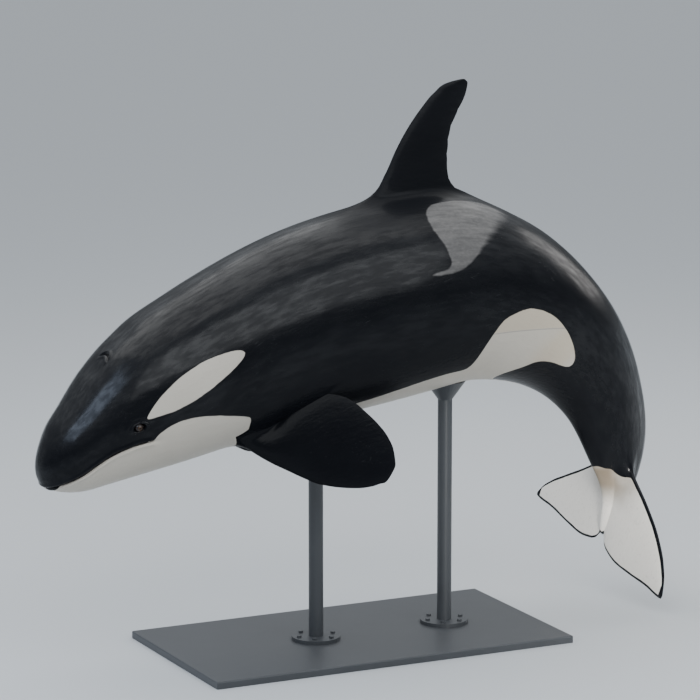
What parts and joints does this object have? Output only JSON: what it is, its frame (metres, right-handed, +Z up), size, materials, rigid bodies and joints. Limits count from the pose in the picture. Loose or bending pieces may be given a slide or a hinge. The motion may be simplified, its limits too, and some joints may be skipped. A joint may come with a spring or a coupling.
{
  "type": "life-size orca model on a display stand",
  "caption": "Still life-size orca arched in mid-leap with falcate back fin, paddle flippers and spread flukes, held over a flat base by bolted rods.",
  "frame": {"origin": "centre of the stand base's underside, on the floor", "axes": "+X from the head towards the tail, +Z up, the animal's left side faces -Y"},
  "size_m": [4.2471, 1.6658, 3.4418],
  "materials": {
    "black_skin": "smooth wet skin, blue-black",
    "white_skin": "smooth wet skin, creamy white",
    "eye": "clear wet gloss",
    "stand": "satin paint on steel"
  },
  "bodies": {
    "root": {"head": "black_skin", "lower_jaw": "white_skin", "eye_left": "eye", "eye_right": "eye", "chest": "black_skin", "midriff": "black_skin", "loin": "black_skin", "tail_stock": "black_skin", "dorsal_fin": "black_skin", "pectoral_fin_left": "black_skin", "pectoral_fin_right": "black_skin", "fluke_left": "white_skin", "fluke_right": "white_skin", "stand_base": "stand", "stand_rod_front": "stand", "stand_rod_rear": "stand"}
  },
  "joints": []
}
